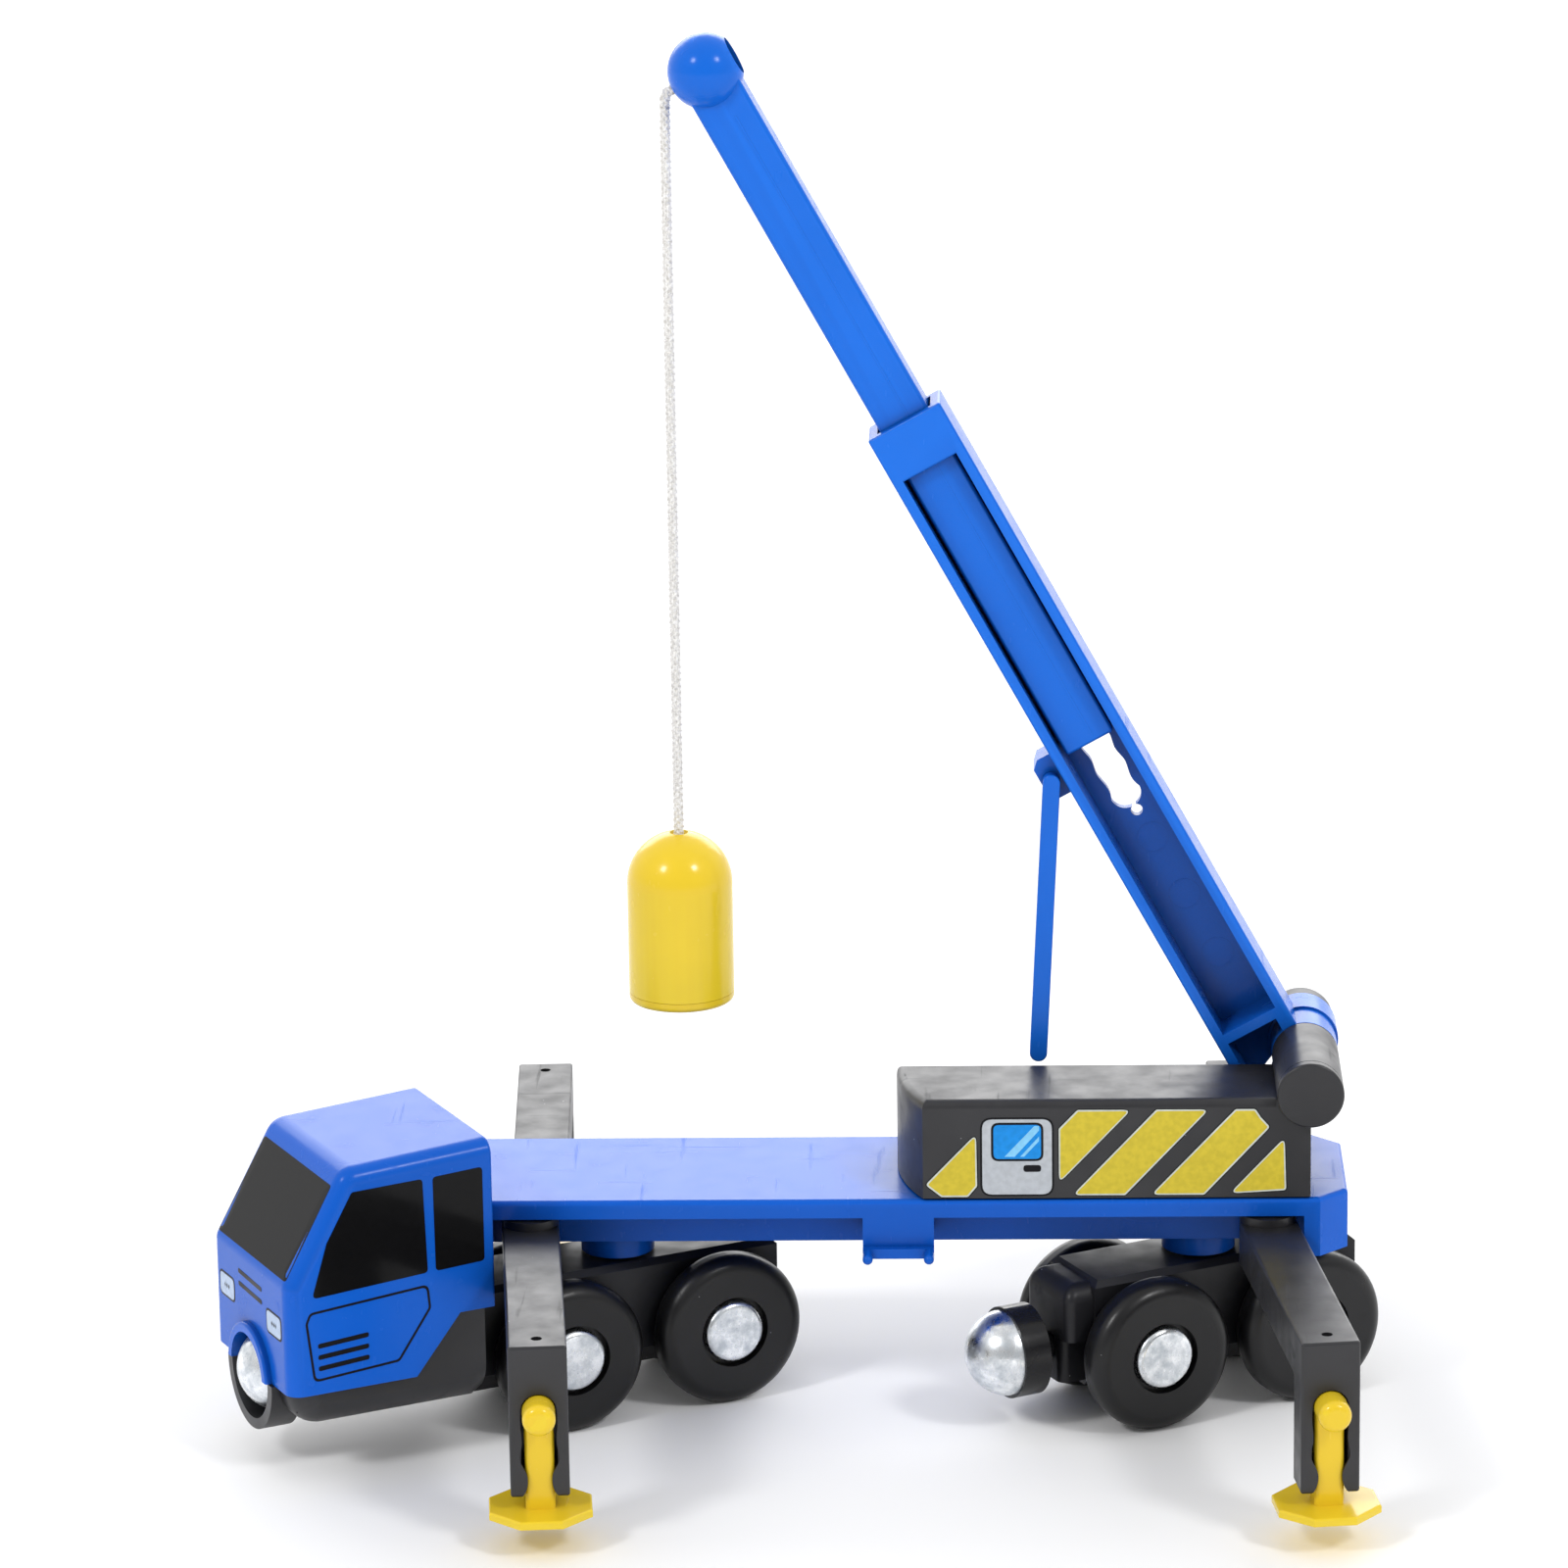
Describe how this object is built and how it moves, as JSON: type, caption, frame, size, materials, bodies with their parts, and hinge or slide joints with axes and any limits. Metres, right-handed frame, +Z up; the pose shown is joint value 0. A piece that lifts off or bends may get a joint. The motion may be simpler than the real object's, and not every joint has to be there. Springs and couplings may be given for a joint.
{
  "type": "toy crane truck",
  "caption": "Toy railway crane truck with a steering cab, two four-wheel bogies, folding outriggers, a rotating housing, telescopic boom and hanging weight.",
  "frame": {"origin": "under the middle of the flat bed, on the plane the wheels stand on", "axes": "+Z up, -X towards the cab, -Y the side with the tall crane housing"},
  "size_m": [0.1492, 0.1187, 0.1777],
  "materials": {
    "blue_plastic": "glossy blue moulded plastic",
    "grey_plastic": "satin dark grey moulded plastic",
    "yellow_plastic": "glossy yellow moulded plastic",
    "black_wheel": "satin black moulded wheel",
    "black_plastic": "glossy black plastic",
    "zinc_steel": "bright zinc-plated steel",
    "magnet": "dark sintered magnet",
    "white_cord": "white braided cord"
  },
  "bodies": {
    "deck": {"deck_bed": "blue_plastic", "bogie_pivot_screws": "zinc_steel", "outrigger_pivot_screws": "zinc_steel"},
    "front_bogie": {"front_bogie_upper_casing": "grey_plastic", "front_bogie_lower_casing": "grey_plastic", "cab_shell": "blue_plastic", "cab_base": "grey_plastic", "front_magnet_dome": "zinc_steel", "front_magnet": "magnet", "front_leading_axle": "zinc_steel", "front_trailing_axle": "zinc_steel"},
    "rear_bogie": {"rear_bogie_upper_casing": "grey_plastic", "rear_bogie_lower_casing": "grey_plastic", "rear_leading_axle": "zinc_steel", "rear_trailing_axle": "zinc_steel"},
    "rear_coupling": {"rear_magnet_holder": "black_plastic", "rear_magnet_dome": "zinc_steel", "rear_magnet": "magnet"},
    "crane": {"crane_housing": "grey_plastic", "turntable_screw": "zinc_steel", "boom_hinge_pin": "grey_plastic", "boom_hinge_cap": "grey_plastic"},
    "boom": {"boom_channel": "blue_plastic", "strut_pin": "blue_plastic"},
    "strut": {"prop_strut": "blue_plastic"},
    "extension": {"boom_extension": "blue_plastic", "hoist_cord_anchor": "white_cord"},
    "load": {"hoist_cord": "white_cord", "load_knot": "white_cord", "load_shell": "yellow_plastic", "load_base_cap": "yellow_plastic", "load_magnet": "magnet"},
    "front_leading_wheel_near_body": {"front_leading_wheel_near": "black_wheel"},
    "front_leading_wheel_far_body": {"front_leading_wheel_far": "black_wheel"},
    "front_trailing_wheel_near_body": {"front_trailing_wheel_near": "black_wheel"},
    "front_trailing_wheel_far_body": {"front_trailing_wheel_far": "black_wheel"},
    "rear_leading_wheel_near_body": {"rear_leading_wheel_near": "black_wheel"},
    "rear_leading_wheel_far_body": {"rear_leading_wheel_far": "black_wheel"},
    "rear_trailing_wheel_near_body": {"rear_trailing_wheel_near": "black_wheel"},
    "rear_trailing_wheel_far_body": {"rear_trailing_wheel_far": "black_wheel"},
    "arm_near_front": {"outrigger_arm_near_front": "grey_plastic"},
    "foot_near_front": {"outrigger_foot_near_front": "yellow_plastic"},
    "arm_near_rear": {"outrigger_arm_near_rear": "grey_plastic"},
    "foot_near_rear": {"outrigger_foot_near_rear": "yellow_plastic"},
    "arm_far_front": {"outrigger_arm_far_front": "grey_plastic"},
    "foot_far_front": {"outrigger_foot_far_front": "yellow_plastic"},
    "arm_far_rear": {"outrigger_arm_far_rear": "grey_plastic"},
    "foot_far_rear": {"outrigger_foot_far_rear": "yellow_plastic"}
  },
  "joints": [
    {"name": "cab_steer", "type": "hinge", "parent": "deck", "child": "front_bogie", "pos_m": [-0.0366, 0, 0.019], "axis": [0, 0, 1], "range_deg": [-53, 1.5]},
    {"name": "rear_bogie_steer", "type": "hinge", "parent": "deck", "child": "rear_bogie", "pos_m": [0.0386, 0, 0.019], "axis": [0, 0, 1], "continuous": true},
    {"name": "coupling_magnet_turn", "type": "hinge", "parent": "rear_bogie", "child": "rear_coupling", "pos_m": [0.01741, -0.01127, 0.0102], "axis": [-0.8829, -0.4695, 0], "continuous": true},
    {"name": "front_leading_wheel_near_spin", "type": "hinge", "parent": "front_bogie", "child": "front_leading_wheel_near_body", "pos_m": [-0.04242, -0.01318, 0.01], "axis": [-0.4617, 0.887, 0], "continuous": true},
    {"name": "front_leading_wheel_far_spin", "type": "hinge", "parent": "front_bogie", "child": "front_leading_wheel_far_body", "pos_m": [-0.05074, 0.00279, 0.01], "axis": [-0.4617, 0.887, 0], "continuous": true},
    {"name": "front_trailing_wheel_near_spin", "type": "hinge", "parent": "front_bogie", "child": "front_trailing_wheel_near_body", "pos_m": [-0.02246, -0.00279, 0.01], "axis": [-0.4617, 0.887, 0], "continuous": true},
    {"name": "front_trailing_wheel_far_spin", "type": "hinge", "parent": "front_bogie", "child": "front_trailing_wheel_far_body", "pos_m": [-0.03078, 0.01318, 0.01], "axis": [-0.4617, 0.887, 0], "continuous": true},
    {"name": "rear_leading_wheel_near_spin", "type": "hinge", "parent": "rear_bogie", "child": "rear_leading_wheel_near_body", "pos_m": [0.03289, -0.01323, 0.01], "axis": [-0.4695, 0.8829, 0], "continuous": true},
    {"name": "rear_leading_wheel_far_spin", "type": "hinge", "parent": "rear_bogie", "child": "rear_leading_wheel_far_body", "pos_m": [0.02444, 0.00266, 0.01], "axis": [-0.4695, 0.8829, 0], "continuous": true},
    {"name": "rear_trailing_wheel_near_spin", "type": "hinge", "parent": "rear_bogie", "child": "rear_trailing_wheel_near_body", "pos_m": [0.05276, -0.00266, 0.01], "axis": [-0.4695, 0.8829, 0], "continuous": true},
    {"name": "rear_trailing_wheel_far_spin", "type": "hinge", "parent": "rear_bogie", "child": "rear_trailing_wheel_far_body", "pos_m": [0.04431, 0.01323, 0.01], "axis": [-0.4695, 0.8829, 0], "continuous": true},
    {"name": "outrigger_swing_near_front", "type": "hinge", "parent": "deck", "child": "arm_near_front", "pos_m": [-0.0472, -0.01, 0.024], "axis": [0, 0, 1], "range_deg": [-2, 64.5]},
    {"name": "outrigger_foot_near_front_slide", "type": "slide", "parent": "arm_near_front", "child": "foot_near_front", "axis": [0, 0, -1], "range_m": [0, 0.0045]},
    {"name": "outrigger_swing_near_rear", "type": "hinge", "parent": "deck", "child": "arm_near_rear", "pos_m": [0.0472, -0.01, 0.024], "axis": [0, 0, -1], "range_deg": [-0.5, 76.5]},
    {"name": "outrigger_foot_near_rear_slide", "type": "slide", "parent": "arm_near_rear", "child": "foot_near_rear", "axis": [0, 0, -1], "range_m": [0, 0.0045]},
    {"name": "outrigger_swing_far_front", "type": "hinge", "parent": "deck", "child": "arm_far_front", "pos_m": [-0.0472, 0.01, 0.024], "axis": [0, 0, -1], "range_deg": [-0.5, 71.4]},
    {"name": "outrigger_foot_far_front_slide", "type": "slide", "parent": "arm_far_front", "child": "foot_far_front", "axis": [0, 0, -1], "range_m": [0, 0.0045]},
    {"name": "outrigger_swing_far_rear", "type": "hinge", "parent": "deck", "child": "arm_far_rear", "pos_m": [0.0472, 0.01, 0.024], "axis": [0, 0, 1], "range_deg": [-10.5, 66]},
    {"name": "outrigger_foot_far_rear_slide", "type": "slide", "parent": "arm_far_rear", "child": "foot_far_rear", "axis": [0, 0, -1], "range_m": [0, 0.0045]},
    {"name": "turntable", "type": "hinge", "parent": "deck", "child": "crane", "pos_m": [0.031, 0, 0.03], "axis": [0, 0, 1], "continuous": true},
    {"name": "boom_lift", "type": "hinge", "parent": "crane", "child": "boom", "pos_m": [0.0524, 0.006, 0.04486], "axis": [0, 1, 0], "range_deg": [-13, 16]},
    {"name": "boom_extend", "type": "slide", "parent": "boom", "child": "extension", "axis": [-0.4818, 0, 0.8763], "range_m": [-0.02, 0.004]},
    {"name": "strut_swing", "type": "hinge", "parent": "boom", "child": "strut", "pos_m": [0.01992, 0.004, 0.08121], "axis": [0, -1, 0], "range_deg": [-60, 31.5]},
    {"name": "load_swing", "type": "hinge", "parent": "extension", "child": "load", "pos_m": [-0.02796, 0.00685, 0.16833], "axis": [0, -1, 0], "range_deg": [-40, 15]}
  ]
}
